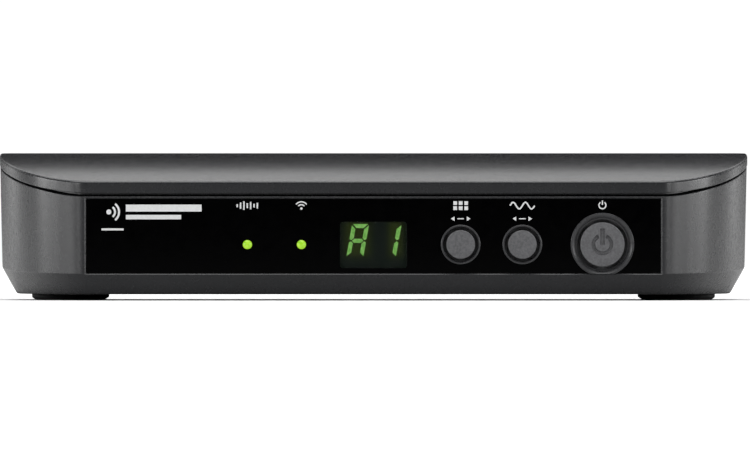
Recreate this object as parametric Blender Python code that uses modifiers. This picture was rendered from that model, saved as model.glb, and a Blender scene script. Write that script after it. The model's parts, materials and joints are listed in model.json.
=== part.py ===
"""Desktop wireless microphone receiver: a low plastic case with a black front panel, three push
buttons, a two-digit display and the audio and power sockets in its rear wall.

Run with: blender --background --python part.py

Frame: +X to the right seen from the front, +Y from the front to the rear, +Z up. The origin is on the
surface that the feet stand on, at the middle of the overall width and depth. Places along the depth are
given as a distance behind the front face, and every dimension below is in millimetres.
"""

import math

import bmesh
import bpy
from mathutils import Matrix, Vector

MM = 0.001

# Case: plan outline
HALF_WIDTH = 94.0  # at the rear corners, where the case is widest
CASE_DEPTH = 99.8
FRONT_Y = -51.4  # the front face, in the part's own frame
FLAT_HALF = 70.1  # half of the flat middle of the front
CORNER_START_PULL = 7.0  # pull of the swept corner along the front
CORNER_END_PULL = 81.2  # pull of the swept corner along the side
SIDE_FLARE = math.radians(0.2)
REAR_CORNER_RADIUS = 3.0
CORNER_STEPS = 14
REAR_CORNER_STEPS = 3

# Case: heights, which rise towards the rear
BASE_Z = 1.48
FLOOR_TOP_Z = 3.5
TOP_FRONT_Z = 29.1
TOP_SLOPE = 0.1243  # rise of the top at its front edge
TOP_CURVE = 0.000471  # how quickly that slope flattens
LIP_FRONT = 2.84
LIP_TAPER = 0.0064
SEAM = 0.36
SEAM_WIDENING = 0.53  # extra height of the seam across the front
SEAM_WIDENING_REACH = 18.0
CHAMFER_FRONT_Z = 6.41
CHAMFER_RISE = 0.021

# Case: walls
WALL = 2.0
FRONT_WALL = 3.2
SIDE_DRAFT = 0.55
BODY_SETBACK = 0.15  # the lower case stands this far inside the cover's lip
CHAMFER_FRONT = 2.9
CHAMFER_SIDE = 3.65
EDGE = 0.35  # rounding of the cover's upper edge
LIP_THICKNESS = 0.5

GAP = 0.3  # between pieces that touch
SEAM_GAP = 0.15  # between a panel and its recess

# Front panel and what shows in it
PANEL_HALF = 70.3
PANEL_BOTTOM_Z = 6.65
PANEL_TOP_Z = 24.75
PANEL_SETBACK = 0.2
PANEL_THICKNESS = 1.05
RECESS_DEPTH = PANEL_SETBACK + PANEL_THICKNESS + GAP
CONTROL_Z = 13.65
LED_X = {"audio": -30.8, "ready": -17.6}
LED_RADIUS = 1.1
WINDOW_SIZE = (16.3, 11.25)
WINDOW_Z = 13.55
DISPLAY_SIZE = (15.6, 10.8)
DISPLAY_FRONT = 2.3
BUTTON_X = {"group": 21.3, "channel": 36.35, "power": 55.9}
CAP_RADIUS = {"group": 3.5, "channel": 3.5, "power": 5.4}
COLLAR_BORE = {"group": 4.2, "channel": 4.2, "power": 6.1}
COLLAR_RADIUS = {"group": 4.85, "channel": 4.85, "power": 7.75}
FLANGE_RADIUS = {"group": 4.9, "channel": 4.9, "power": 7.0}
CAP_PROUD = 0.6
COLLAR_PROUD = 0.1
TRAVEL = {"group": 0.5, "channel": 0.5, "power": 1.8}

# Boards
BOARD_THICKNESS = 1.6
MAIN_BOARD_Z = 5.6
MAIN_BOARD_TOP = MAIN_BOARD_Z + BOARD_THICKNESS
MAIN_BOARD_HALF = 66.0
MAIN_BOARD_SPAN = (14.0, 95.0)
CONTROL_BOARD_DEPTH = 9.8
CONTROL_BOARD_X = (-38.0, 46.0)
CONTROL_BOARD_Z = (4.2, 24.0)
BOARD_SCREW_PLACES = [(-61.0, 34.0), (61.0, 34.0), (-61.0, 90.0), (61.0, 90.0)]

# Fasteners and feet
CASE_SCREW_PLACES = [(-72.0, 13.0), (72.0, 13.0), (-84.5, 92.0), (84.5, 92.0)]
BOSS_RADIUS = 4.4
BOSS_TOP_Z = 8.0
POST_RADIUS = 3.2
COUNTERBORE_TOP_Z = 5.1
FOOT_PLACES = [(-75.3, 38.0), (75.3, 38.0), (-75.3, 80.0), (75.3, 80.0)]
FOOT_RADIUS = 9.1
FOOT_HEIGHT = 1.75

# Rear sockets
XLR_X, XLR_Z = 14.0, 17.8
XLR_SIZE = (24.0, 26.0)
XLR_FLANGE = 1.6
XLR_BORE = 8.2
XLR_CUP = 9.6
XLR_PIN_CIRCLE = 4.76
XLR_PIN_RADIUS = 1.2
XLR_SCREW_OFFSET = (9.2, 10.2)
JACK_X, JACK_Z = 43.0, 16.0
JACK_SIZE = 16.0
JACK_BARREL = 4.7
JACK_BORE = 3.25
DC_X, DC_Z = -53.0, 13.6
DC_SIZE = (9.0, 11.0)
DC_NOSE = 4.4
DC_BORE = 2.9
HOOK_X = -36.0
POCKET = ((-42.0, -30.0), (93.4, CASE_DEPTH), (9.5, 22.0))

SIDES = 24  # segments round a small cylinder

COLLECTION = "wireless_receiver"
CUTTERS = "cutters"

MATERIALS = {
    "case_plastic": ((0.045, 0.046, 0.049), 0.5, 0.0),
    "button_plastic": ((0.12, 0.12, 0.125), 0.6, 0.0),
    "panel_gloss": ((0.003, 0.003, 0.004), 0.12, 0.0),
    "window_tint": ((0.012, 0.02, 0.008), 0.1, 0.0),
    "light_pipe": ((0.35, 0.9, 0.08), 0.2, 0.0),
    "dark_plastic": ((0.015, 0.015, 0.016), 0.45, 0.0),
    "board_green": ((0.01, 0.09, 0.035), 0.4, 0.0),
    "component_black": ((0.02, 0.02, 0.02), 0.5, 0.0),
    "tinned_steel": ((0.6, 0.6, 0.58), 0.3, 1.0),
    "nickel": ((0.62, 0.6, 0.56), 0.22, 1.0),
    "black_steel": ((0.03, 0.03, 0.03), 0.4, 1.0),
    "brass": ((0.6, 0.42, 0.16), 0.3, 1.0),
    "rubber": ((0.012, 0.012, 0.012), 0.85, 0.0),
}


# ---------------------------------------------------------------- scene and small helpers


def clear_scene():
    for old in list(bpy.data.objects):
        bpy.data.objects.remove(old, do_unlink=True)


def collection(name):
    found = bpy.data.collections.get(name)
    if found is None:
        found = bpy.data.collections.new(name)
        bpy.context.scene.collection.children.link(found)
    return found


def material(name):
    found = bpy.data.materials.get(name)
    if found is None:
        colour, roughness, metallic = MATERIALS[name]
        found = bpy.data.materials.new(name)
        found.use_nodes = True
        shader = found.node_tree.nodes["Principled BSDF"]
        shader.inputs["Base Color"].default_value = (*colour, 1.0)
        shader.inputs["Roughness"].default_value = roughness
        shader.inputs["Metallic"].default_value = metallic
    return found


def place(x, depth, z):
    """A point in metres, from millimetres across, behind the front face and above the surface."""
    return Vector((x * MM, (FRONT_Y + depth) * MM, z * MM))


def mesh_object(name, bm, look=None):
    """An object from a bmesh: a part with a look, or a hidden cutter without one."""
    bmesh.ops.recalc_face_normals(bm, faces=bm.faces)
    mesh = bpy.data.meshes.new(name)
    bm.to_mesh(mesh)
    bm.free()
    made = bpy.data.objects.new(name, mesh)
    finish_object(made, look)
    return made


def finish_object(made, look):
    if look is None:
        collection(CUTTERS).objects.link(made)
        made.hide_render = True
        made.display_type = "WIRE"
    else:
        collection(COLLECTION).objects.link(made)
        made.data.materials.append(material(look))
        if made.type == "MESH":
            made.data.shade_smooth()
            made.data.set_sharp_from_angle(angle=math.radians(30))


def box(name, xs, depths, zs, look=None):
    bm = bmesh.new()
    bmesh.ops.create_cube(bm, size=1.0)
    low, high = place(xs[0], depths[0], zs[0]), place(xs[1], depths[1], zs[1])
    bmesh.ops.scale(bm, vec=high - low, verts=bm.verts)
    bmesh.ops.translate(bm, vec=(low + high) / 2, verts=bm.verts)
    return mesh_object(name, bm, look)


def rod(name, start, end, radius, look=None, sides=SIDES):
    """A straight cylinder from one point to another, both in metres."""
    along = end - start
    turn = along.to_track_quat("Z", "Y").to_matrix().to_4x4()
    bm = bmesh.new()
    bmesh.ops.create_cone(
        bm, cap_ends=True, segments=sides, radius1=radius * MM, radius2=radius * MM,
        depth=along.length, matrix=Matrix.Translation((start + end) / 2) @ turn,
    )
    return mesh_object(name, bm, look)


def turned(name, profile, origin, look=None, along="+Z", sides=SIDES):
    """A solid of revolution. The profile is (radius, height) from the top down, in millimetres."""
    bm = bmesh.new()
    points = [bm.verts.new((r * MM, 0.0, h * MM)) for r, h in profile]
    for first, second in zip(points, points[1:]):
        bm.edges.new((first, second))
    if profile[0][0] > 0:  # a ring: the profile closes on itself
        bm.edges.new((points[-1], points[0]))
    mesh = bpy.data.meshes.new(name)
    bm.to_mesh(mesh)
    bm.free()
    made = bpy.data.objects.new(name, mesh)
    finish_object(made, look)
    screw = made.modifiers.new("turn", "SCREW")
    screw.steps = sides
    screw.render_steps = sides
    screw.use_merge_vertices = True
    screw.merge_threshold = 0.000001
    screw.use_smooth_shade = False
    made.location = origin
    made.rotation_euler = {"+Z": (0, 0, 0), "-Y": (math.pi / 2, 0, 0), "+Y": (-math.pi / 2, 0, 0)}[along]
    return made


def combine(target, tool, operation):
    modifier = target.modifiers.new(f"{operation.lower()}_{tool.name}", "BOOLEAN")
    modifier.operation = operation
    modifier.object = tool
    modifier.solver = "EXACT"


def cut(target, *tools):
    for tool in tools:
        combine(target, tool, "DIFFERENCE")


def join(target, *tools):
    for tool in tools:
        combine(target, tool, "UNION")


# ---------------------------------------------------------------- shape of the case


def top_z(depth):
    return TOP_FRONT_Z + TOP_SLOPE * depth - TOP_CURVE * depth * depth


def lip_z(depth):
    """The lower edge of the cover's lip."""
    return top_z(depth) - LIP_FRONT + LIP_TAPER * depth


def seam_extra(depth):
    """How much the seam opens across the front, fading out round the corners."""
    near = max(0.0, 1.0 - depth / SEAM_WIDENING_REACH)
    return 0.04 + SEAM_WIDENING * near * near


def tongue_z(depth):
    return lip_z(depth) - seam_extra(depth)


def rim_z(depth):
    """The upper edge of the lower case."""
    return tongue_z(depth) - SEAM


def chamfer_z(depth):
    return CHAMFER_FRONT_Z + CHAMFER_RISE * depth


def half_outline(steps=CORNER_STEPS):
    """Right half of the plan outline, front to rear, as (x, depth, normal across, normal along)."""
    rear = CASE_DEPTH - REAR_CORNER_RADIUS
    ends = [
        (FLAT_HALF, 0.0),
        (FLAT_HALF + CORNER_START_PULL, 0.0),
        (HALF_WIDTH - CORNER_END_PULL * math.tan(SIDE_FLARE), rear - CORNER_END_PULL),
        (HALF_WIDTH, rear),
    ]
    points = []
    for i in range(steps + 1):
        t = (i / steps) ** 1.15  # closer together where the corner turns
        s = 1.0 - t
        weights = (s**3, 3 * s * s * t, 3 * s * t * t, t**3)
        slopes = (-3 * s * s, 3 * s * s - 6 * s * t, 6 * s * t - 3 * t * t, 3 * t * t)
        x, depth = (sum(w * p[k] for w, p in zip(weights, ends)) for k in (0, 1))
        dx, dd = (sum(w * p[k] for w, p in zip(slopes, ends)) for k in (0, 1))
        length = math.hypot(dx, dd)
        points.append((x, depth, dd / length, -dx / length))
    for i in range(1, REAR_CORNER_STEPS + 1):
        angle = math.pi / 2 * i / REAR_CORNER_STEPS
        across, back = math.cos(angle), math.sin(angle)
        centre = (HALF_WIDTH - REAR_CORNER_RADIUS, rear)
        points.append(
            (centre[0] + REAR_CORNER_RADIUS * across, centre[1] + REAR_CORNER_RADIUS * back, across, back)
        )
    return points


def ring(side, front, rear, height, lean=0.0):
    """The half outline moved inwards, at the height given by a function of the depth.

    The lean is a further inset of the side that keeps its full width round the rear corner.
    """
    points = []
    for x, depth, across, back in half_outline():
        moved = depth - back * (front if back < 0 else rear)
        leaning = lean * (across if back < 0 else 1.0)
        points.append((x - across * side - leaning, moved, height(moved)))
    return points


def loft(name, rings, look=None):
    """A closed solid through rings of the case outline, with both end rings filled across."""
    bm = bmesh.new()
    rows = []
    for points in rings:
        right = [bm.verts.new(place(x, d, z)) for x, d, z in points]
        left = [bm.verts.new(place(-x, d, z)) for x, d, z in points]
        rows.append(right + left[::-1])
    count, half = len(rows[0]), len(rows[0]) // 2
    for lower, upper in zip(rows, rows[1:]):
        for i in range(count):
            j = (i + 1) % count
            bm.faces.new((lower[i], lower[j], upper[j], upper[i]))
    for row in (rows[0], rows[-1]):
        for i in range(half - 1):
            bm.faces.new((row[i], row[i + 1], row[count - 2 - i], row[count - 1 - i]))
    return mesh_object(name, bm, look)


# ---------------------------------------------------------------- case


def lower_case():
    outside, inside = BODY_SETBACK, BODY_SETBACK + WALL
    lean = SIDE_DRAFT + CHAMFER_SIDE
    tray = loft(
        "bottom_tray",
        [
            ring(outside, CHAMFER_FRONT, 0.0, lambda d: BASE_Z, lean),
            ring(outside, 0.0, 0.0, chamfer_z, SIDE_DRAFT),
            ring(outside, 0.0, 0.0, rim_z),
            ring(inside, FRONT_WALL, WALL, rim_z),
            ring(inside, FRONT_WALL, WALL, lambda d: chamfer_z(d) + 0.6, SIDE_DRAFT),
            ring(inside, FRONT_WALL + 1.2, WALL, lambda d: FLOOR_TOP_Z, lean),
        ],
        "case_plastic",
    )
    add_floor_features(tray)
    open_front_wall(tray)
    open_rear_wall(tray)
    return tray


def add_floor_features(tray):
    """Bosses for the case screws, standoffs for the board and shallow seats for the feet."""
    for i, (x, depth) in enumerate(CASE_SCREW_PLACES):
        boss = rod(f"boss_{i}", place(x, depth, 2.5), place(x, depth, BOSS_TOP_Z), BOSS_RADIUS)
        bore = turned(
            f"boss_bore_{i}",
            [(0, 9.0), (1.65, 9.0), (1.65, COUNTERBORE_TOP_Z), (3.3, COUNTERBORE_TOP_Z), (3.3, 0.5), (0, 0.5)],
            place(x, depth, 0),
        )
        join(tray, boss)
        cut(tray, bore)
    for i, (x, depth) in enumerate(BOARD_SCREW_PLACES):
        standoff = rod(f"standoff_{i}", place(x, depth, 2.5), place(x, depth, MAIN_BOARD_Z - GAP), 3.2, sides=16)
        bore = rod(f"standoff_bore_{i}", place(x, depth, 2.6), place(x, depth, 7.0), 1.35, sides=12)
        join(tray, standoff)
        cut(tray, bore)
    for i, (x, depth) in enumerate(FOOT_PLACES):
        seat = rod(f"foot_seat_{i}", place(x, depth, 0.5), place(x, depth, FOOT_HEIGHT + 0.2), FOOT_RADIUS + 0.25)
        cut(tray, seat)


def open_front_wall(tray):
    """The panel's recess, the collars round the buttons and the openings behind the panel."""
    cut(
        tray,
        box(
            "panel_recess",
            (-PANEL_HALF - SEAM_GAP, PANEL_HALF + SEAM_GAP),
            (-2.0, RECESS_DEPTH),
            (PANEL_BOTTOM_Z - SEAM_GAP, PANEL_TOP_Z + SEAM_GAP),
        ),
    )
    below = box("below_panel", (40.0, 72.0), (-3.0, 6.0), (0.0, PANEL_BOTTOM_Z - SEAM_GAP))
    for name, x in BUTTON_X.items():
        collar = rod(
            f"{name}_collar", place(x, -COLLAR_PROUD, CONTROL_Z), place(x, RECESS_DEPTH + 0.8, CONTROL_Z),
            COLLAR_RADIUS[name], sides=32,
        )
        if name == "power":  # its collar stops at the panel's lower edge
            cut(collar, below)
        bore = rod(
            f"{name}_bore", place(x, -2.0, CONTROL_Z), place(x, 5.5, CONTROL_Z), COLLAR_BORE[name], sides=28
        )
        join(tray, collar)
        cut(tray, bore)
    for name, x in LED_X.items():
        hole = rod(f"{name}_hole", place(x, 0.5, CONTROL_Z), place(x, 5.5, CONTROL_Z), LED_RADIUS + 0.2, sides=12)
        cut(tray, hole)
    width, height = DISPLAY_SIZE
    cut(
        tray,
        box(
            "display_hole",
            (-width / 2 - GAP, width / 2 + GAP),
            (0.5, 5.5),
            (WINDOW_Z - height / 2 - GAP, WINDOW_Z + height / 2 + GAP),
        ),
    )


def open_rear_wall(tray):
    """Holes for the sockets, and the pocket with the hook that the adapter's cord ties round."""
    rear = CASE_DEPTH
    (x0, x1), (d0, _), (z0, z1) = POCKET
    join(tray, box("pocket_walls", (x0 - WALL, x1 + WALL), (d0 - WALL, rear - 0.8), (z0 - 1.6, z1 + WALL)))
    cut(tray, box("pocket_space", (x0, x1), (d0, rear + 2.0), (z0, z1)))
    arm = box("hook_arm", (HOOK_X - 1.6, HOOK_X + 1.6), (d0 - 1.0, rear - 0.4), (12.6, 14.8))
    tip = box("hook_tip", (HOOK_X - 1.6, HOOK_X + 1.6), (rear - 2.1, rear - 0.4), (13.6, 19.2))
    join(tray, arm, tip)
    for name, x, z, radius in (
        ("xlr", XLR_X, XLR_Z, XLR_CUP + GAP),
        ("jack", JACK_X, JACK_Z, JACK_BARREL + 0.2),
        ("dc", DC_X, DC_Z, DC_NOSE + 0.25),
    ):
        cut(tray, rod(f"{name}_wall_hole", place(x, rear - 4, z), place(x, rear + 2, z), radius, sides=32))
    for i, (x, z) in enumerate(xlr_screw_places()):
        cut(tray, rod(f"xlr_screw_hole_{i}", place(x, rear - 4, z), place(x, rear + 2, z), 1.4, sides=12))


def upper_case():
    inside = WALL - 0.1
    cover = loft(
        "top_cover",
        [
            ring(0.9, 0.9, 0.9, top_z),
            ring(EDGE, EDGE, EDGE, lambda d: top_z(d) - 0.2),
            ring(0.12, 0.12, 0.12, lambda d: top_z(d) - 0.7),
            ring(0.0, 0.0, 0.0, lip_z),
            ring(LIP_THICKNESS, LIP_THICKNESS, LIP_THICKNESS, lip_z),
            ring(LIP_THICKNESS, LIP_THICKNESS, LIP_THICKNESS, tongue_z),
            ring(inside, inside, inside, tongue_z),
            ring(inside + 0.2, inside + 0.2, inside + 0.2, lambda d: top_z(d) - WALL),
        ],
        "case_plastic",
    )
    for i, (x, depth) in enumerate(CASE_SCREW_PLACES):
        ceiling = top_z(depth) - 1.0
        post = rod(f"post_{i}", place(x, depth, BOSS_TOP_Z + GAP), place(x, depth, ceiling), POST_RADIUS)
        bore = rod(f"post_bore_{i}", place(x, depth, BOSS_TOP_Z - 1), place(x, depth, 19.0), 1.6, sides=12)
        join(cover, post)
        cut(cover, bore)
    return cover


# ---------------------------------------------------------------- front panel and controls


def front_panel():
    panel = box(
        "front_panel",
        (-PANEL_HALF, PANEL_HALF),
        (PANEL_SETBACK, PANEL_SETBACK + PANEL_THICKNESS),
        (PANEL_BOTTOM_Z, PANEL_TOP_Z),
        "panel_gloss",
    )
    for name, x in BUTTON_X.items():
        around = COLLAR_RADIUS[name] + SEAM_GAP
        cut(panel, rod(f"{name}_panel_hole", place(x, -2, CONTROL_Z), place(x, 4, CONTROL_Z), around, sides=32))
    for name, x in LED_X.items():
        around = LED_RADIUS + 0.1
        cut(panel, rod(f"{name}_panel_hole", place(x, -2, CONTROL_Z), place(x, 4, CONTROL_Z), around, sides=16))
    width, height = WINDOW_SIZE
    cut(panel, window_block("window_hole", width + 0.2, height + 0.2, (-2.0, 4.0)))
    window_block(
        "display_window", width, height, (PANEL_SETBACK, PANEL_SETBACK + PANEL_THICKNESS), "window_tint"
    )


def window_block(name, width, height, depths, look=None):
    return box(name, (-width / 2, width / 2), depths, (WINDOW_Z - height / 2, WINDOW_Z + height / 2), look)


def display():
    width, height = DISPLAY_SIZE
    box(
        "display_module",
        (-width / 2, width / 2),
        (DISPLAY_FRONT, CONTROL_BOARD_DEPTH - GAP),
        (WINDOW_Z - height / 2, WINDOW_Z + height / 2),
        "dark_plastic",
    )


def indicators():
    """Each indicator is a small lamp on the control board with a light pipe to the front."""
    for name, x in LED_X.items():
        r = LED_RADIUS
        turned(
            f"{name}_light_pipe",
            [(0, 0.15), (0.55 * r, 0.1), (0.9 * r, -0.05), (r, -0.3), (r, -8.6), (0, -8.6)],
            place(x, 0.0, CONTROL_Z), "light_pipe", along="-Y", sides=16,
        )
        box(
            f"{name}_led", (x - 1.0, x + 1.0), (8.9, CONTROL_BOARD_DEPTH - 0.2), (CONTROL_Z - 0.7, CONTROL_Z + 0.7),
            "tinned_steel",
        )


def small_button(name):
    """A round cap with the flange that keeps it behind the wall and the stem that works its switch."""
    r, flange = CAP_RADIUS[name], FLANGE_RADIUS[name]
    cap = turned(
        f"{name}_button",
        [
            (0, CAP_PROUD), (r - 0.25, CAP_PROUD), (r - 0.07, CAP_PROUD - 0.07), (r, CAP_PROUD - 0.25),
            (r, -3.5), (flange, -3.5), (flange, -4.3), (1.3, -4.3), (1.3, -5.1), (0, -5.1),
        ],
        place(BUTTON_X[name], 0, CONTROL_Z), "button_plastic", along="-Y", sides=28,
    )
    return cap


def tactile_switch(name):
    x = BUTTON_X[name]
    body = box(
        f"{name}_switch", (x - 3.0, x + 3.0), (6.2, CONTROL_BOARD_DEPTH - 0.2), (CONTROL_Z - 3, CONTROL_Z + 3),
        "component_black",
    )
    cut(body, rod(f"{name}_switch_bore", place(x, 4, CONTROL_Z), place(x, 8.9, CONTROL_Z), 1.9, sides=16))
    rod(
        f"{name}_plunger", place(x, 5.3, CONTROL_Z), place(x, 8.0, CONTROL_Z), 1.7, "dark_plastic", sides=16
    )


def power_button():
    """The large cap, with a power symbol sunk in its face, and its stem."""
    r, flange = CAP_RADIUS["power"], FLANGE_RADIUS["power"]
    x = BUTTON_X["power"]
    cap = turned(
        "power_button",
        [
            (0, CAP_PROUD), (r - 0.3, CAP_PROUD), (r - 0.08, CAP_PROUD - 0.08), (r, CAP_PROUD - 0.3),
            (r, -3.5), (flange, -3.5), (flange, -4.5), (2.0, -4.5), (2.0, -7.7), (0, -7.7),
        ],
        place(x, 0, CONTROL_Z), "button_plastic", along="-Y", sides=36,
    )
    groove = turned(
        "symbol_ring", [(1.8, 1.0), (2.55, 1.0), (2.55, CAP_PROUD - 0.25), (1.8, CAP_PROUD - 0.25)],
        place(x, 0, CONTROL_Z), along="-Y", sides=24,
    )
    break_in_ring = box("symbol_break", (x - 0.9, x + 0.9), (-2.0, 1.0), (CONTROL_Z + 0.4, CONTROL_Z + 4))
    cut(groove, break_in_ring)
    bar = box(
        "symbol_bar", (x - 0.42, x + 0.42), (-2.0, -CAP_PROUD + 0.25), (CONTROL_Z + 0.1, CONTROL_Z + 3.9)
    )
    cut(cap, groove, bar)
    return cap


def power_switch():
    """A latching push switch on the main board. Its plunger slides in a bore."""
    x = BUTTON_X["power"]
    body = box(
        "power_switch", (x - 5.0, x + 5.0), (14.4, 27.0), (MAIN_BOARD_TOP + GAP, CONTROL_Z + 5.0), "component_black"
    )
    cut(body, rod("power_switch_bore", place(x, 12, CONTROL_Z), place(x, 25.5, CONTROL_Z), 2.2, sides=16))
    rod("power_plunger", place(x, 8.0, CONTROL_Z), place(x, 22.0, CONTROL_Z), 1.9, "dark_plastic", sides=16)


# ---------------------------------------------------------------- electronics


def boards():
    main = box(
        "main_board", (-MAIN_BOARD_HALF, MAIN_BOARD_HALF), MAIN_BOARD_SPAN, (MAIN_BOARD_Z, MAIN_BOARD_TOP),
        "board_green",
    )
    for i, (x, depth) in enumerate(BOARD_SCREW_PLACES):
        cut(main, rod(f"board_hole_{i}", place(x, depth, 4.0), place(x, depth, 9.0), 1.5, sides=12))
    control = (CONTROL_BOARD_DEPTH, CONTROL_BOARD_DEPTH + BOARD_THICKNESS)
    box("control_board", CONTROL_BOARD_X, control, CONTROL_BOARD_Z, "board_green")
    top = MAIN_BOARD_TOP + GAP
    box("board_header", (-24.0, 2.0), (control[1] + GAP, 17.0), (top, top + 3.0), "dark_plastic")


def shield_can():
    """A pressed sheet cover over the radio circuits, open towards the board."""
    bm = bmesh.new()
    bmesh.ops.create_cube(bm, size=1.0)
    low, high = place(-20.0, 36.0, MAIN_BOARD_TOP + GAP), place(26.0, 68.0, MAIN_BOARD_TOP + 5.5)
    bmesh.ops.scale(bm, vec=high - low, verts=bm.verts)
    bmesh.ops.translate(bm, vec=(low + high) / 2, verts=bm.verts)
    floor = [face for face in bm.faces if face.normal.z < -0.5]
    bmesh.ops.delete(bm, geom=floor, context="FACES")
    can = mesh_object("rf_shield", bm, "tinned_steel")
    sheet = can.modifiers.new("sheet", "SOLIDIFY")
    sheet.thickness = 0.4 * MM
    sheet.offset = -1.0
    return can


def components():
    top = MAIN_BOARD_TOP + GAP
    box("processor_chip", (-46.0, -34.0), (44.0, 56.0), (top, top + 1.4), "component_black")
    box("audio_chip", (36.0, 44.0), (50.0, 60.0), (top, top + 1.6), "component_black")
    box("voltage_regulator", (-58.0, -51.5), (70.0, 76.5), (top, top + 2.3), "component_black")
    for i, (x, depth) in enumerate([(-44.0, 76.0), (-34.5, 80.0), (30.0, 68.0)], 1):
        turned(
            f"filter_capacitor_{i}",
            [(0, 7.2), (2.9, 7.2), (3.15, 6.9), (3.15, 0), (0, 0)],
            place(x, depth, top), "tinned_steel", sides=20,
        )


def antenna(side):
    """An internal wire antenna: it rises from the board's edge and runs back along the side wall."""
    name = "antenna_right" if side > 0 else "antenna_left"
    route = [
        (62.0, 50.0, 8.2), (62.0, 50.0, 17.0), (62.6, 50.0, 18.5), (64.0, 50.0, 19.6), (66.0, 50.0, 20.0),
        (82.0, 50.0, 20.0), (83.8, 50.5, 20.0), (85.0, 51.8, 20.0), (85.5, 53.5, 20.0), (86.5, 80.0, 20.0),
    ]
    curve = bpy.data.curves.new(name, "CURVE")
    curve.dimensions = "3D"
    curve.bevel_depth = 0.6 * MM
    curve.bevel_resolution = 2
    curve.use_fill_caps = True
    spline = curve.splines.new("POLY")
    spline.points.add(len(route) - 1)
    for point, (x, depth, z) in zip(spline.points, route):
        point.co = (*place(side * x, depth, z), 1.0)
    made = bpy.data.objects.new(name, curve)
    finish_object(made, "brass")


# ---------------------------------------------------------------- rear sockets


def xlr_screw_places():
    across, up = XLR_SCREW_OFFSET
    return [(XLR_X - across, XLR_Z + up), (XLR_X + across, XLR_Z - up)]


def xlr_output():
    """A three-pin male audio socket: square flange, round cup and three pins."""
    width, height = XLR_SIZE
    outside = CASE_DEPTH + 0.2
    mouth = outside + XLR_FLANGE
    shell = box(
        "xlr_shell",
        (XLR_X - width / 2, XLR_X + width / 2),
        (outside, mouth),
        (XLR_Z - height / 2, XLR_Z + height / 2),
        "dark_plastic",
    )
    join(shell, rod("xlr_cup", place(XLR_X, 77, XLR_Z), place(XLR_X, mouth - 0.4, XLR_Z), XLR_CUP, sides=40))
    cut(shell, rod("xlr_bore", place(XLR_X, 84, XLR_Z), place(XLR_X, mouth + 2, XLR_Z), XLR_BORE, sides=40))
    key = box("xlr_key", (XLR_X - 0.9, XLR_X + 0.9), (83.0, mouth - 1.0), (XLR_Z + 7.3, XLR_Z + 8.6))
    join(shell, key)
    for i, angle in enumerate((165.0, 15.0, 270.0), 1):
        x = XLR_X + XLR_PIN_CIRCLE * math.cos(math.radians(angle))
        z = XLR_Z + XLR_PIN_CIRCLE * math.sin(math.radians(angle))
        r = XLR_PIN_RADIUS
        cut(shell, rod(f"pin_hole_{i}", place(x, 75, z), place(x, 86, z), r + 0.15, sides=16))
        turned(
            f"xlr_pin_{i}",
            [(0, 99.0), (0.6 * r, 98.8), (0.93 * r, 98.2), (r, 97.4), (r, 73.0), (0, 73.0)],
            place(x, 0, z), "nickel", along="+Y", sides=16,
        )
    for i, (x, z) in enumerate(xlr_screw_places(), 1):
        cut(shell, rod(f"flange_hole_{i}", place(x, 98, z), place(x, mouth + 2, z), 1.5, sides=12))
        turned(
            f"xlr_screw_{i}",
            [(0, 1.4), (1.4, 1.3), (2.3, 0.8), (2.5, GAP), (1.2, GAP), (1.2, -5.6), (0, -5.6)],
            place(x, mouth, z), "black_steel", along="+Y", sides=16,
        )


def jack_output():
    """A quarter-inch socket held to the wall by a washer and a hexagon nut."""
    half = JACK_SIZE / 2
    body = box(
        "jack_body", (JACK_X - half, JACK_X + half), (74.0, 97.3), (JACK_Z - half, JACK_Z + half), "dark_plastic"
    )
    end = CASE_DEPTH + 3.6
    join(body, rod("jack_barrel", place(JACK_X, 96, JACK_Z), place(JACK_X, end, JACK_Z), JACK_BARREL, sides=32))
    cut(body, rod("jack_bore", place(JACK_X, 78, JACK_Z), place(JACK_X, end + 2, JACK_Z), JACK_BORE))
    inner = JACK_BARREL + 0.2
    turned(
        "jack_washer", [(inner, 0.6), (7.2, 0.6), (7.2, 0), (inner, 0)], place(JACK_X, CASE_DEPTH + 0.2, JACK_Z),
        "nickel", along="+Y", sides=32,
    )
    nut_from = CASE_DEPTH + 1.0
    nut = rod(
        "jack_nut", place(JACK_X, nut_from, JACK_Z), place(JACK_X, nut_from + 2.0, JACK_Z), 7.3, "nickel", sides=6
    )
    cut(nut, rod("nut_bore", place(JACK_X, 98, JACK_Z), place(JACK_X, 106, JACK_Z), JACK_BARREL + 0.15, sides=32))


def dc_inlet():
    """The low-voltage inlet: a block behind the wall, a round nose through it and a centre pin."""
    width, height = DC_SIZE
    body = box(
        "dc_inlet", (DC_X - width / 2, DC_X + width / 2), (85.5, 97.4),
        (MAIN_BOARD_TOP + GAP, MAIN_BOARD_TOP + GAP + height), "dark_plastic",
    )
    nose_end = CASE_DEPTH + 0.4
    join(body, rod("dc_nose", place(DC_X, 96, DC_Z), place(DC_X, nose_end, DC_Z), DC_NOSE, sides=28))
    cut(body, rod("dc_bore", place(DC_X, 88, DC_Z), place(DC_X, nose_end + 2, DC_Z), DC_BORE, sides=20))
    cut(body, rod("dc_pin_hole", place(DC_X, 84, DC_Z), place(DC_X, 90, DC_Z), 1.15, sides=12))
    turned(
        "dc_pin", [(0, 99.0), (0.7, 98.8), (1.0, 98.2), (1.0, 84.5), (0, 84.5)],
        place(DC_X, 0, DC_Z), "nickel", along="+Y", sides=12,
    )


# ---------------------------------------------------------------- feet and screws


def corner_name(x, depth):
    return f"{'front' if depth < CASE_DEPTH / 2 else 'rear'}_{'right' if x > 0 else 'left'}"


def feet():
    r = FOOT_RADIUS
    for x, depth in FOOT_PLACES:
        turned(
            f"foot_{corner_name(x, depth)}",
            [(0, FOOT_HEIGHT), (r, FOOT_HEIGHT), (r, 0.6), (r - 0.5, 0.0), (0, 0.0)],
            place(x, depth, 0), "rubber", sides=28,
        )


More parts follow.
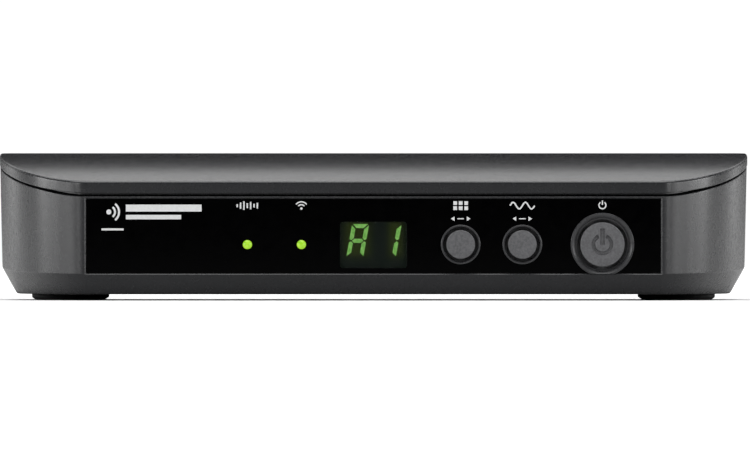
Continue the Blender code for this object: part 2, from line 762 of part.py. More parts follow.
def screws():
    head = 3.0
    for x, depth in CASE_SCREW_PLACES:
        turned(
            f"case_screw_{corner_name(x, depth)}",
            [(0, 17.0), (1.0, 17.0), (1.35, 15.5), (1.35, 4.8), (2.9, 4.8), (2.9, head), (0, head)],
            place(x, depth, 0), "black_steel", sides=16,
        )
    seat = MAIN_BOARD_TOP + 0.1
    for x, depth in BOARD_SCREW_PLACES:
        turned(
            f"board_screw_{corner_name(x, depth)}",
            [(0, seat + 1.6), (1.6, seat + 1.4), (2.4, seat + 0.4), (2.4, seat), (1.1, seat), (1.1, 3.0), (0, 3.0)],
            place(x, depth, 0), "tinned_steel", sides=16,
        )


def main():
    clear_scene()
    lower_case()
    upper_case()
    front_panel()
    display()
    indicators()
    for name in ("group", "channel"):
        small_button(name)
        tactile_switch(name)
    power_button()
    power_switch()
    boards()
    shield_can()
    components()
    for side in (-1, 1):
        antenna(side)
    xlr_output()
    jack_output()
    dc_inlet()
    feet()
    screws()


main()
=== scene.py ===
"""Looks of the desktop wireless microphone receiver, built around its CAD model.

+X is to the right seen from the front, +Y runs from the front to the rear and +Z is up. Depths are
given as a distance behind the front face. Dimensions are in millimetres unless a comment says otherwise.
"""

import json
import math

import bmesh
import bpy
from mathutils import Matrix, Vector


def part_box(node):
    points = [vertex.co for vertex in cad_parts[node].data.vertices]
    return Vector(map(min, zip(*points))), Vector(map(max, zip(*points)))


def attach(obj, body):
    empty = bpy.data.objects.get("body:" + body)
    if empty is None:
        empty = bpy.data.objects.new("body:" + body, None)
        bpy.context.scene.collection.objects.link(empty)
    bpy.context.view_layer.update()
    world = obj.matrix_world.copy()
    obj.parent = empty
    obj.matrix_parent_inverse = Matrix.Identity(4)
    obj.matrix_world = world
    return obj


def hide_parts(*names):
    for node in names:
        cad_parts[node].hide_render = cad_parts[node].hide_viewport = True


MM = 0.001

# Case: plan outline
HALF_WIDTH = 94.0
CASE_DEPTH = 99.8
FLAT_HALF = 70.1
CORNER_START_PULL = 7.0
CORNER_END_PULL = 81.2
SIDE_FLARE = math.radians(0.2)
REAR_CORNER_RADIUS = 3.0
CORNER_STEPS = 72
CORNER_CROWDING = 1.15  # above 1, the steps lie closer together towards the front
REAR_CORNER_STEPS = 8

# Case: heights, which rise towards the rear
BASE_Z = 1.48
FLOOR_TOP_Z = 3.5
TOP_FRONT_Z = 29.1
TOP_SLOPE = 0.1243
TOP_CURVE = 0.000471
LIP_FRONT = 2.84
LIP_TAPER = 0.0064
SEAM = 0.36
SIDE_SEAM = 0.13
SEAM_WIDENING = 0.53
SEAM_WIDENING_REACH = 18.0
CHAMFER_FRONT_Z = 6.41
CHAMFER_RISE = 0.021

# Case: walls
WALL = 2.0
FRONT_WALL = 3.2
SIDE_DRAFT = 0.55
BODY_SETBACK = 0.15
CHAMFER_FRONT = 2.9
CHAMFER_SIDE = 3.65
LIP_THICKNESS = 1.2

# Case: flat rims round the top and the base, and how far its edges are rounded
TOP_RIM = 1.6
BASE_RIM = 0.8
TOP_EDGE = 0.62
BASE_EDGE = 0.5
FINE_EDGE = 0.16
RIM_EDGE = 0.2

# Front panel and its recess
RIM_HALF = 70.22  # half the width of the recess that the panel sits in
PANEL_PLAY = 0.1
PANEL_BOTTOM_Z = 6.65
PANEL_TOP_Z = 24.75
PANEL_SETBACK = 0.2
PANEL_THICKNESS = 1.05
RECESS_DEPTH = 1.55
RIM_FLARE = (2.11, 1.22)  # how far the flare spreads and how deep it runs
FLARE_HEIGHT_SHARE = 0.6
SEAM_GAP = 0.15

# Lights, window and buttons
CONTROL_Z = 13.65
LED_X = {"audio": -30.8, "ready": -17.6}
LED_RADIUS = 1.1
WINDOW_SIZE = (16.3, 11.25)
WINDOW_Z = 13.55
WINDOW_CORNER = 0.8
BUTTON_X = {"group": 21.3, "channel": 36.35, "power": 55.9}
CAP_RADIUS = {"group": 3.5, "channel": 3.5, "power": 5.4}
COLLAR_BORE = {"group": 4.2, "channel": 4.2, "power": 6.1}
COLLAR_RADIUS = {"group": 4.85, "channel": 4.85, "power": 7.75}
FLANGE_RADIUS = {"group": 4.9, "channel": 4.9, "power": 7.0}
CAP_PROUD = 0.6
CAP_EDGE = {"group": 0.22, "channel": 0.22, "power": 0.25}
FLANGE_FRONT = 3.5
FLANGE_BACK = {"group": 4.3, "channel": 4.3, "power": 4.5}
STEM_RADIUS = {"group": 1.3, "channel": 1.3, "power": 2.0}
STEM_END = {"group": 5.1, "channel": 5.1, "power": 7.7}
COLLAR_PROUD = 0.1
COLLAR_BACK = 3.1
LENS_BACK = 8.6

# Readout
DIGIT_X = {"left": -3.85, "right": 4.09}
DIGIT_Z = 14.57
DIGIT_HEIGHT = 8.2
DIGIT_WIDTH = 4.15
SEGMENT = 1.0
SEGMENT_GAP = 0.14
DIGIT_LEAN = math.radians(10.0)
DIGIT_DEPTH = 0.95
DIGIT_THICKNESS = 0.12
LIT = {"left": "abcefg", "right": "bc"}

# Printed marks
MARK_Z = 23.15
STEP_MARK_Z = 19.95
EMBLEM_X, EMBLEM_Z = -64.6, 21.6
PRINT_DEPTHS = (PANEL_SETBACK - 0.03, PANEL_SETBACK + 0.02)

# Power symbol, sunk into the power button: ring radii and bar half widths, at the top and the bottom
SYMBOL_DEEP = 0.5
SYMBOL_SHOULDER = 0.02
SYMBOL_RING = ((1.72, 2.66), (1.92, 2.46))
SYMBOL_BAR = (0.62, 0.40)
SYMBOL_BAR_SPAN = (-0.1, 3.9)
SYMBOL_BAR_SLOPE = 0.15
SYMBOL_GAP = math.radians(48)
SYMBOL_STEPS = 72

# Fasteners and feet
CORNERS = ("front_left", "front_right", "rear_left", "rear_right")
CASE_SCREW_PLACES = [(-72.0, 13.0), (72.0, 13.0), (-84.5, 92.0), (84.5, 92.0)]
COUNTERBORE_RADIUS = 3.3
FOOT_PLACES = [(-75.3, 38.0), (75.3, 38.0), (-75.3, 80.0), (75.3, 80.0)]
FOOT_RADIUS = 9.1
FOOT_HEIGHT = 1.75

# Rear sockets
XLR_X, XLR_Z = 14.0, 17.8
XLR_SIZE = (24.0, 26.0)
XLR_FLANGE = 1.6
XLR_BORE = 8.2
XLR_CUP = 9.6
XLR_BACK = 77.0
XLR_FLOOR = 84.0
XLR_SCREW_OFFSET = (9.2, 10.2)
JACK_X, JACK_Z = 43.0, 16.0
JACK_BARREL = 4.7
JACK_BORE = 3.25
JACK_MOUTH = 3.6
JACK_BLOCK_HALF = 8.0
JACK_BLOCK_DEPTHS = (74.0, 96.0)
THREADS = 10
THREAD_PITCH = 0.62
THREAD_START = 3.3
THREAD_DEPTH = 0.28
DC_X, DC_Z = -53.0, 13.6
DC_NOSE = 4.4
DC_BORE = 2.9
HOOK_X = -36.0
HOOK_HALF = 1.6
POCKET = ((-42.0, -30.0), (9.5, 22.0))
POCKET_FLOOR = 93.4
OVERCUT = 2.0  # how far a cutter runs past the face that it opens

# Camera: places in metres, lens in millimetres
EYE_DISTANCE = 3.0
EYE_HEIGHT = 0.010
EYE_X = 0.00038
LENS = 589.9
PITCH = math.radians(0.1445)

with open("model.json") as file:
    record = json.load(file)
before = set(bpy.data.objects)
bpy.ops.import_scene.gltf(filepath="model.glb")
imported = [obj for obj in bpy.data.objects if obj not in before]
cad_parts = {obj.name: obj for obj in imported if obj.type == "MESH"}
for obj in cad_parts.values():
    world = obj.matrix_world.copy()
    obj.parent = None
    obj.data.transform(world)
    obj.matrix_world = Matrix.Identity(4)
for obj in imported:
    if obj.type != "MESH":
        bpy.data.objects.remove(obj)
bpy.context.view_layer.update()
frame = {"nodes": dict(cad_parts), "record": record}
FRONT_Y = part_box("top_cover")[0].y / MM


# ---- materials


def add_node(tree, kind, inputs=None):
    """A new shader node. Each input is set to a value or linked to a socket."""
    made = tree.nodes.new("ShaderNode" + kind)
    for name, value in (inputs or {}).items():
        if isinstance(value, bpy.types.NodeSocket):
            tree.links.new(value, made.inputs[name])
        else:
            made.inputs[name].default_value = value
    return made


class Look:
    """A Principled material with its nodes, in the object's own coordinates (metres)."""

    def __init__(self, name, roughness=0.5, metallic=0.0, specular=0.5):
        self.made = bpy.data.materials.new(name)
        self.made.use_nodes = True
        self.tree = self.made.node_tree
        self.shader = self.tree.nodes["Principled BSDF"]
        self.shader.inputs["Roughness"].default_value = roughness
        self.shader.inputs["Metallic"].default_value = metallic
        self.shader.inputs["Specular IOR Level"].default_value = specular
        self.place = self.node("TexCoord").outputs["Object"]

    def node(self, kind, inputs=None):
        return add_node(self.tree, kind, inputs)

    def link(self, source, target):
        self.tree.links.new(source, target)

    def stretched(self, scale):
        """The object's coordinates, scaled differently along each axis."""
        return self.node("Mapping", {"Scale": scale, "Vector": self.place}).outputs["Vector"]

    def noise(self, per_mm, detail=2.0, place=None):
        settings = {"Scale": per_mm / MM, "Detail": detail, "Vector": place or self.place}
        return self.node("TexNoise", settings).outputs["Fac"]

    def cells(self, per_mm):
        return self.node("TexVoronoi", {"Scale": per_mm / MM, "Vector": self.place}).outputs["Distance"]

    def ramp(self, factor, stops):
        node = self.node("ValToRGB", {"Fac": factor})
        ramp = node.color_ramp
        while len(ramp.elements) < len(stops):
            ramp.elements.new(0.5)
        for element, (at, colour) in zip(ramp.elements, stops):
            element.position = at
            element.color = (*colour, 1.0)
        return node.outputs["Color"]

    def spread(self, factor, low, high, start=0.3, end=0.7, interpolation="LINEAR"):
        """Takes start to low and end to high, and holds them beyond."""
        limits = {"From Min": start, "From Max": end, "To Min": low, "To Max": high}
        node = self.node("MapRange", {**limits, "Value": factor})
        node.interpolation_type = interpolation
        return node.outputs["Result"]

    def compute(self, operation, *terms):
        """A sum on one or two sockets or numbers."""
        node = self.node("Math", dict(enumerate(terms)))
        node.operation = operation
        return node.outputs[0]

    def parted(self, vector):
        """The X, Y and Z sockets of a vector."""
        return self.node("SeparateXYZ", {"Vector": vector}).outputs

    def colour(self, output):
        self.link(output, self.shader.inputs["Base Color"])

    def mottled(self, colour, variation, per_mm, start=0.3, end=0.7):
        """A base colour that drifts a little lighter and darker."""
        dark = tuple(c * (1 - variation) for c in colour)
        light = tuple(c * (1 + variation) for c in colour)
        self.colour(self.ramp(self.noise(per_mm, 3.0), [(start, dark), (end, light)]))

    def bump(self, height, depth_mm, strength=1.0):
        """Adds relief. Calls stack on each other."""
        node = self.node("Bump", {"Strength": strength, "Distance": depth_mm * MM, "Height": height})
        normal = self.shader.inputs["Normal"]
        if normal.is_linked:
            self.link(normal.links[0].from_socket, node.inputs["Normal"])
        self.link(node.outputs["Normal"], normal)

    def rough(self, output):
        self.link(output, self.shader.inputs["Roughness"])


def case_plastic():
    """Dark grey moulded plastic with a fine grain, a little smoother where it faces up."""
    look = Look("case_plastic", specular=0.5)
    look.mottled((0.0215, 0.0222, 0.0242), 0.10, 0.05)
    normal = look.parted(look.node("NewGeometry").outputs["Normal"])
    facing_up = look.spread(normal["Z"], 1.0, 0.5, 0.80, 0.98)
    look.rough(look.compute("MULTIPLY", look.spread(look.noise(0.6), 0.24, 0.29), facing_up))
    look.bump(look.noise(3.6, 3.0), 0.006, 0.5)
    return look.made


def button_plastic():
    look = Look("button_plastic", specular=0.45)
    look.mottled((0.125, 0.1255, 0.131), 0.24, 2.2)
    look.rough(look.spread(look.noise(1.5), 0.48, 0.62))
    look.bump(look.noise(3.6, 2.0), 0.03, 1.0)
    return look.made


def panel_gloss():
    """Polished black sheet with the faintest orange peel and hairline marks."""
    look = Look("panel_gloss", roughness=0.05, specular=0.06)
    look.mottled((0.0006, 0.0006, 0.0007), 0.2, 0.1)
    look.rough(look.spread(look.noise(0.35, 4.0), 0.03, 0.06))
    look.bump(look.noise(0.12, 1.0), 0.002, 0.3)
    look.bump(look.noise(0.8, 1.0, look.stretched((1.0, 1.0, 14.0))), 0.0006, 0.2)
    return look.made


def window_tint():
    look = Look("window_tint", roughness=0.07, specular=0.2)
    look.mottled((0.0012, 0.0030, 0.0016), 0.15, 0.3)
    look.bump(look.noise(0.25, 1.0), 0.001, 0.2)
    look.shader.inputs["Alpha"].default_value = 0.3
    return look.made


def satin_black(name, colour, roughness, grain):
    look = Look(name, specular=0.5)
    look.mottled(colour, 0.15, 0.4)
    look.rough(look.spread(look.noise(0.9), roughness - 0.05, roughness + 0.06))
    look.bump(look.noise(grain, 2.0), 0.006, 0.5)
    return look.made


def metal(name, colour, roughness, brush=(1.0, 1.0, 1.0)):
    look = Look(name, metallic=1.0)
    look.mottled(colour, 0.06, 0.6)
    look.rough(look.spread(look.noise(1.4, 3.0, look.stretched(brush)), roughness * 0.8, roughness * 1.3))
    look.bump(look.noise(3.0, 2.0, look.stretched(brush)), 0.002, 0.4)
    return look.made


def rubber():
    look = Look("rubber", specular=0.3)
    look.mottled((0.0075, 0.0075, 0.0078), 0.3, 0.3)
    look.rough(look.spread(look.noise(0.8), 0.72, 0.9))
    look.bump(look.cells(1.4), 0.03, 0.5)
    return look.made


def solder_mask():
    """Green board lacquer with faint raised tracks under it."""
    look = Look("board_green", specular=0.5)
    look.mottled((0.010, 0.085, 0.035), 0.25, 0.15)
    look.rough(look.spread(look.noise(0.5), 0.28, 0.42))
    tracks = look.node("TexBrick", {"Scale": 0.3 / MM, "Mortar Size": 0.04, "Vector": look.place})
    look.bump(tracks.outputs["Fac"], 0.02, 0.5)
    return look.made


def printed_white():
    look = Look("printed_white", specular=0.3)
    look.mottled((0.82, 0.83, 0.83), 0.05, 2.0)
    look.rough(look.spread(look.noise(3.0), 0.45, 0.6))
    return look.made


def lit(name, deep, bright, strength, per_mm, base):
    """A lit plastic or lamp whose glow is a little uneven."""
    look = Look(name, roughness=0.25)
    look.mottled(base, 0.1, per_mm)
    glow = look.ramp(look.noise(per_mm, 2.0), [(0.32, deep), (0.68, bright)])
    look.link(glow, look.shader.inputs["Emission Color"])
    look.shader.inputs["Emission Strength"].default_value = strength
    return look.made


def display_face():
    """Dark face behind the window, with a painted glow where the lit digits would light it."""
    look = Look("display_face", roughness=0.5)
    look.mottled((0.0006, 0.0030, 0.0016), 0.2, 0.5)
    at = look.parted(look.place)

    def falloff(output, centre, half, soft):
        """1 inside the half width, falling smoothly to 0 over the soft margin."""
        away = look.compute("ABSOLUTE", look.compute("SUBTRACT", output, centre * MM))
        return look.spread(away, 1.0, 0.0, half * MM, (half + soft) * MM, "SMOOTHSTEP")

    left = falloff(at["X"], DIGIT_X["left"], 1.6, 3.2)
    right = falloff(at["X"], DIGIT_X["right"] + 1.3, 0.5, 2.6)
    height = falloff(at["Z"], DIGIT_Z + 0.4, 2.9, 3.0)
    # painted light: the face glows near the lit digits, standing in for the light they throw on it
    painted_digit_glow = look.compute("MULTIPLY", look.compute("MAXIMUM", left, right), height)
    dark, dim, bright = (0.0006, 0.0034, 0.0018), (0.008, 0.013, 0.0008), (0.024, 0.036, 0.002)
    glow = look.ramp(painted_digit_glow, [(0.0, dark), (0.5, dim), (1.0, bright)])
    look.link(glow, look.shader.inputs["Emission Color"])
    look.shader.inputs["Emission Strength"].default_value = 1.0
    return look.made


LOOKS = {
    "case_plastic": case_plastic(),
    "button_plastic": button_plastic(),
    "panel_gloss": panel_gloss(),
    "window_tint": window_tint(),
    "light_pipe": lit("light_pipe", (0.26, 0.62, 0.012), (0.56, 0.86, 0.07), 0.75, 0.9, (0.12, 0.26, 0.01)),
    # a lighter copy of the case plastic: a painted highlight on the button collars
    "collar_plastic_painted_highlight": satin_black("collar_plastic_painted_highlight", (0.044, 0.0445, 0.047), 0.30, 4.0),
    "dark_plastic": satin_black("dark_plastic", (0.014, 0.014, 0.015), 0.42, 4.0),
    "component_black": satin_black("component_black", (0.022, 0.022, 0.023), 0.55, 6.0),
    "black_steel": metal("black_steel", (0.035, 0.035, 0.037), 0.38),
    "tinned_steel": metal("tinned_steel", (0.62, 0.62, 0.60), 0.3, (1.0, 8.0, 1.0)),
    "nickel": metal("nickel", (0.66, 0.64, 0.60), 0.2),
    "brass": metal("brass", (0.72, 0.50, 0.20), 0.26),
    "board_green": solder_mask(),
    "rubber": rubber(),
    "segment": lit("segment", (0.20, 0.60, 0.09), (0.40, 0.86, 0.22), 1.0, 1.6, (0.02, 0.03, 0.02)),
    "printed_white": printed_white(),
    "display_face": display_face(),
}


# ---- small helpers


def place(x, depth, z):
    return Vector((x * MM, (FRONT_Y + depth) * MM, z * MM))


def smooth(made, angle=30.0):
    """Smooth shading that breaks at sharp edges. With no angle, the shading is left as it is."""
    if angle is not None:
        made.data.shade_smooth()
        made.data.set_sharp_from_angle(angle=math.radians(angle))


def mesh_object(name, bm, look=None, angle=30.0):
    bmesh.ops.recalc_face_normals(bm, faces=bm.faces)
    mesh = bpy.data.meshes.new(name)
    bm.to_mesh(mesh)
    bm.free()
    made = bpy.data.objects.new(name, mesh)
    bpy.context.scene.collection.objects.link(made)
    if look:
        mesh.materials.append(LOOKS[look])
        smooth(made, angle)
    return made


def joined(name, parts, look=None):
    """One object from several meshes."""
    bm = bmesh.new()
    for part in parts:
        part.data.transform(part.matrix_world)
        bm.from_mesh(part.data)
        bpy.data.objects.remove(part)
    return mesh_object(name, bm, look)


def settle(made):
    """Takes the object's modifiers into its mesh."""
    bpy.context.view_layer.update()
    evaluated = made.evaluated_get(bpy.context.evaluated_depsgraph_get())
    mesh = bpy.data.meshes.new_from_object(evaluated)
    made.modifiers.clear()
    made.data = mesh


def applied(made, look, angle=30.0):
    """The object with its modifiers applied and one material."""
    settle(made)
    made.data.materials.clear()
    made.data.materials.append(LOOKS[look])
    smooth(made, angle)
    return made


def combined(made, other, operation):
    """The object after a Boolean with another one, which is used up."""
    modifier = made.modifiers.new("combine", "BOOLEAN")
    modifier.operation = operation
    modifier.solver = "EXACT"
    modifier.object = other
    settle(made)
    bpy.data.objects.remove(other)
    return made


def cut(made, cutters):
    """Takes the cutters out of the object, all at once, and removes them."""
    return combined(made, joined("tool", cutters), "DIFFERENCE")


def softened(made, width, look, segments=2, angle=40.0):
    """Small rounded edges where faces meet sharply."""
    bevel = made.modifiers.new("soften", "BEVEL")
    bevel.width = width * MM
    bevel.segments = segments
    bevel.limit_method = "ANGLE"
    bevel.angle_limit = math.radians(angle)
    bevel.harden_normals = True
    made.data.shade_smooth()
    return applied(made, look, None)


def weighted(made, look):
    """Gives each vertex the normal of its larger faces, so that wide walls stay evenly lit."""
    weights = made.modifiers.new("weights", "WEIGHTED_NORMAL")
    weights.mode = "FACE_AREA"
    weights.weight = 50
    weights.keep_sharp = True
    return applied(made, look, None)


def bridge(bm, rows):
    """Faces between each closed row of vertices and the next."""
    count = len(rows[0])
    for near, far in zip(rows, rows[1:]):
        for k in range(count):
            j = (k + 1) % count
            bm.faces.new((near[k], near[j], far[j], far[k]))


def lofted(name, rows):
    """A solid through rows of corner points, with a flat face at each end."""
    bm = bmesh.new()
    loops = [[bm.verts.new(point) for point in row] for row in rows]
    bridge(bm, loops)
    bm.faces.new(loops[0])
    bm.faces.new(loops[-1][::-1])
    return mesh_object(name, bm)


def extruded(name, points, move, look=None):
    """A flat outline drawn along a vector."""
    bm = bmesh.new()
    face = bm.faces.new([bm.verts.new(point) for point in points])
    drawn = bmesh.ops.extrude_face_region(bm, geom=[face])
    moved = [v for v in drawn["geom"] if isinstance(v, bmesh.types.BMVert)]
    bmesh.ops.translate(bm, vec=move, verts=moved)
    return mesh_object(name, bm, look)


def box(name, xs, depths, zs):
    bm = bmesh.new()
    bmesh.ops.create_cube(bm, size=1.0)
    low, high = place(xs[0], depths[0], zs[0]), place(xs[1], depths[1], zs[1])
    bmesh.ops.scale(bm, vec=high - low, verts=bm.verts)
    bmesh.ops.translate(bm, vec=(low + high) / 2, verts=bm.verts)
    return mesh_object(name, bm)


def rounded_plate(name, centre, size, depths, radius, look=None, steps=8):
    """A plate facing the front with rounded corners."""
    (cx, cz), (width, height) = centre, size
    corners = [(1, 1, 0.0), (-1, 1, 90.0), (-1, -1, 180.0), (1, -1, 270.0)]
    outline = []
    for across, up, start in corners:
        for i in range(steps + 1):
            angle = math.radians(start + 90.0 * i / steps)
            x = cx + across * (width / 2 - radius) + radius * math.cos(angle)
            z = cz + up * (height / 2 - radius) + radius * math.sin(angle)
            outline.append((x, z))
    return prism(name, outline, depths, look)


def prism(name, outline, depths, look=None):
    """An outline in the front plane, given as (x, z), drawn back between two depths."""
    near, far = depths
    return extruded(name, [place(x, near, z) for x, z in outline], (0, (far - near) * MM, 0), look)


# Axes of a turned solid, by the way that it faces
TURNS = {
    "front": lambda across, up, out: (across, -out, up),
    "rear": lambda across, up, out: (across, out, up),
    "up": lambda across, up, out: (across, up, out),
}


def turned(name, profile, x, z, look=None, depth=0.0, sides=96, facing="front"):
    """A solid of revolution. The profile is (radius, distance along the way that it faces)."""
    bm = bmesh.new()
    at = TURNS[facing]
    angles = [2 * math.pi * i / sides for i in range(sides)]
    rows = []
    for r, h in profile:
        ring = [at(r * math.cos(a), r * math.sin(a), h) for a in angles] if r else [at(0, 0, h)]
        rows.append([bm.verts.new(Vector(point) * MM) for point in ring])
    pairs = list(zip(rows, rows[1:]))
    if profile[0][0] > 0:
        pairs.append((rows[-1], rows[0]))
    for upper, lower in pairs:
        for i in range(sides):
            j = (i + 1) % sides
            corners = [row[k % len(row)] for row, k in ((upper, i), (upper, j), (lower, j), (lower, i))]
            bm.faces.new(list(dict.fromkeys(corners)))
    bmesh.ops.translate(bm, vec=place(x, depth, z), verts=bm.verts)
    return mesh_object(name, bm, look)


def rod(name, x, z, depths, radius, sides=64):
    """A round bar from front to rear between two depths."""
    near, far = depths
    return turned(name, [(0, -near), (radius, -near), (radius, -far), (0, -far)], x, z, sides=sides)


def post(name, where, heights, radius, sides):
    """An upright round bar between two heights."""
    (x, depth), (low, high) = where, heights
    profile = [(0, high), (radius, high), (radius, low), (0, low)]
    return turned(name, profile, x, 0, depth=depth, sides=sides, facing="up")


def rounded(profile, radii, steps=4):
    """A profile with its corners rounded. Each radius says how far from the corner the round starts."""
    out = []
    last = len(profile) - 1
    for i, (point, radius) in enumerate(zip(profile, radii)):
        if radius == 0 or i in (0, last):
            out.append(tuple(point))
            continue
        before, here, after = Vector(profile[i - 1]), Vector(point), Vector(profile[i + 1])
        start = here + (before - here).normalized() * radius
        end = here + (after - here).normalized() * radius
        for k in range(steps + 1):
            t = k / steps
            out.append(tuple(start * (1 - t) ** 2 + here * 2 * t * (1 - t) + end * t * t))
    return out


def piece(made, replaces=(), body="receiver"):
    """A finished piece, which rides on a body and may stand for CAD nodes."""
    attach(made, body)
    if replaces:
        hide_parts(*replaces)
    return made


# ---- shape of the case


def top_z(depth):
    return TOP_FRONT_Z + TOP_SLOPE * depth - TOP_CURVE * depth * depth


def lip_z(depth):
    return top_z(depth) - LIP_FRONT + LIP_TAPER * depth


def tongue_z(depth):
    near = max(0.0, 1.0 - depth / SEAM_WIDENING_REACH)
    return lip_z(depth) - 0.04 - SEAM_WIDENING * near * near


def rim_z(depth):
    return tongue_z(depth) - SEAM - SIDE_SEAM * min(1.0, depth / SEAM_WIDENING_REACH)


def chamfer_z(depth):
    return CHAMFER_FRONT_Z + CHAMFER_RISE * depth


def half_outline():
    """Right half of the plan outline, front to rear, as (x, depth, normal across, normal along)."""
    rear = CASE_DEPTH - REAR_CORNER_RADIUS
    ends = [
        (FLAT_HALF, 0.0),
        (FLAT_HALF + CORNER_START_PULL, 0.0),
        (HALF_WIDTH - CORNER_END_PULL * math.tan(SIDE_FLARE), rear - CORNER_END_PULL),
        (HALF_WIDTH, rear),
    ]
    points = []
    for i in range(CORNER_STEPS + 1):
        t = (i / CORNER_STEPS) ** CORNER_CROWDING
        s = 1.0 - t
        weights = (s**3, 3 * s * s * t, 3 * s * t * t, t**3)
        slopes = (-3 * s * s, 3 * s * s - 6 * s * t, 6 * s * t - 3 * t * t, 3 * t * t)
        x, depth = (sum(w * p[k] for w, p in zip(weights, ends)) for k in (0, 1))
        dx, dd = (sum(w * p[k] for w, p in zip(slopes, ends)) for k in (0, 1))
        length = math.hypot(dx, dd)
        points.append((x, depth, dd / length, -dx / length))
    centre_x = HALF_WIDTH - REAR_CORNER_RADIUS
    for i in range(1, REAR_CORNER_STEPS + 1):
        angle = math.pi / 2 * i / REAR_CORNER_STEPS
        across, back = math.cos(angle), math.sin(angle)
        x, depth = centre_x + REAR_CORNER_RADIUS * across, rear + REAR_CORNER_RADIUS * back
        points.append((x, depth, across, back))
    return points


OUTLINE = half_outline()


def station(index, side, front, rear, height, lean=0.0):
    """A point of the case at one station of the outline, moved inwards."""
    x, depth, across, back = OUTLINE[index]
    moved = depth - back * (front if back < 0 else rear)
    return x - across * side - lean * (across if back < 0 else 1.0), moved, height(moved)


def shell(name, rings, radii, look, steps=4):
    """A closed case half. Each ring is (side, front, rear, height, lean), with a radius for its edge."""
    bm = bmesh.new()
    columns = []
    for i in range(len(OUTLINE)):
        profile = [station(i, *ring) for ring in rings]
        columns.append(rounded(profile, radii, steps))
    rows = []
    for k in range(len(columns[0])):
        right = [bm.verts.new(place(*column[k])) for column in columns]
        left = [bm.verts.new(place(-column[k][0], column[k][1], column[k][2])) for column in columns]
        rows.append(right + left[::-1])
    bridge(bm, rows)
    count, half = len(rows[0]), len(rows[0]) // 2
    for row in (rows[0], rows[-1]):
        for i in range(half - 1):
            bm.faces.new((row[i], row[i + 1], row[count - 2 - i], row[count - 1 - i]))
    return mesh_object(name, bm, look)


def level(z):
    """A height that is the same at every depth."""
    return lambda depth: z


def even(inset, height):
    """A ring moved in by the same distance all round."""
    return inset, inset, inset, height, 0.0


def lower_case():
    outside, inside = BODY_SETBACK, BODY_SETBACK + WALL
    lean = SIDE_DRAFT + CHAMFER_SIDE
    case = shell(
        "case_lower",
        [
            (outside + BASE_RIM, CHAMFER_FRONT + BASE_RIM, 0.6, level(BASE_Z), lean),
            (outside, CHAMFER_FRONT, 0.0, level(BASE_Z), lean),
            (outside, 0.0, 0.0, chamfer_z, SIDE_DRAFT),
            (outside, 0.0, 0.0, rim_z, 0.0),
            (inside, FRONT_WALL, WALL, rim_z, 0.0),
            (inside, FRONT_WALL, WALL, lambda depth: chamfer_z(depth) + 0.6, SIDE_DRAFT),
            (inside, FRONT_WALL + 1.2, WALL, level(FLOOR_TOP_Z), lean),
        ],
        (0, BASE_EDGE, FINE_EDGE, RIM_EDGE, 0, 0, 0),
        "case_plastic",
    )
    cut(case, front_cutters())
    cut(case, bore_cutters())
    cut(case, rear_cutters() + underside_cutters())
    softened(case, 0.12, "case_plastic")
    weighted(case, "case_plastic")
    return piece(case, ["bottom_tray"])


def front_cutters():
    """The panel's recess, with a narrow flare at its rim that catches the light."""
    spread, run = RIM_FLARE
    ahead = 1.0
    rows = []
    for depth, flare in ((-ahead, spread), (run - ahead, 0.0), (RECESS_DEPTH, 0.0)):
        side = RIM_HALF + flare
        low = PANEL_BOTTOM_Z - SEAM_GAP - flare * FLARE_HEIGHT_SHARE
        high = PANEL_TOP_Z + SEAM_GAP + flare * FLARE_HEIGHT_SHARE
        rows.append([place(x, depth, z) for x, z in ((-side, low), (side, low), (side, high), (-side, high))])
    return [lofted("recess", rows)]


def bore_cutters():
    through, behind = (-OVERCUT, 5.5), (0.5, 5.5)
    holes = []
    for name, x in BUTTON_X.items():
        holes.append(rod("bore", x, CONTROL_Z, through, COLLAR_BORE[name] + 0.3))
    for x in LED_X.values():
        holes.append(rod("led_hole", x, CONTROL_Z, behind, LED_RADIUS + 0.2, sides=32))
    holes.append(box("display_hole", (-7.9, 7.9), behind, (WINDOW_Z - 5.5, WINDOW_Z + 5.5)))
    return holes


def rear_cutters():
    beyond = CASE_DEPTH + OVERCUT
    sockets = (
        (XLR_X, XLR_Z, XLR_CUP + 0.3),
        (JACK_X, JACK_Z, JACK_BARREL + 0.2),
        (DC_X, DC_Z, DC_NOSE + 0.25),
    )
    xs, zs = POCKET
    cutters = [box("pocket", xs, (CASE_DEPTH - WALL - 1, beyond), zs)]
    for x, z, radius in sockets:
        cutters.append(rod("socket_hole", x, z, (CASE_DEPTH - 4, beyond), radius))
    return cutters


def underside_cutters():
    below = 0.5
    cutters = []
    for where in FOOT_PLACES:
        cutters.append(post("foot_seat", where, (below, FOOT_HEIGHT + 0.2), FOOT_RADIUS + 0.25, 96))
    for where in CASE_SCREW_PLACES:
        cutters.append(post("counterbore", where, (below, 3.3), COUNTERBORE_RADIUS, 48))
    return cutters


def upper_case():
    inside = WALL - 0.1
    cover = shell(
        "case_cover",
        [
            even(TOP_RIM, top_z),
            even(0.0, top_z),
            even(0.0, lip_z),
            even(LIP_THICKNESS, lip_z),
            even(LIP_THICKNESS, tongue_z),
            even(inside, tongue_z),
            even(inside + 0.2, lambda depth: top_z(depth) - WALL),
        ],
        (0, TOP_EDGE, FINE_EDGE, 0, 0, 0, 0),
        "case_plastic",
        steps=6,
    )
    weighted(cover, "case_plastic")
    return piece(cover, ["top_cover"])


def screw_wells():
    """The bosses seen inside the counterbores of the underside."""
    bore, inner, outer = 1.65, COUNTERBORE_RADIUS, 4.2
    foot, shelf, top = 3.2, 5.1, 7.9
    profile = [(inner, shelf), (inner, foot), (outer, foot), (outer, top), (bore, top), (bore, shelf)]
    for i, (x, depth) in enumerate(CASE_SCREW_PLACES, 1):
        well = turned(f"screw_well_{i}", profile, x, 0, "case_plastic", depth=depth, sides=48, facing="up")
        piece(well)


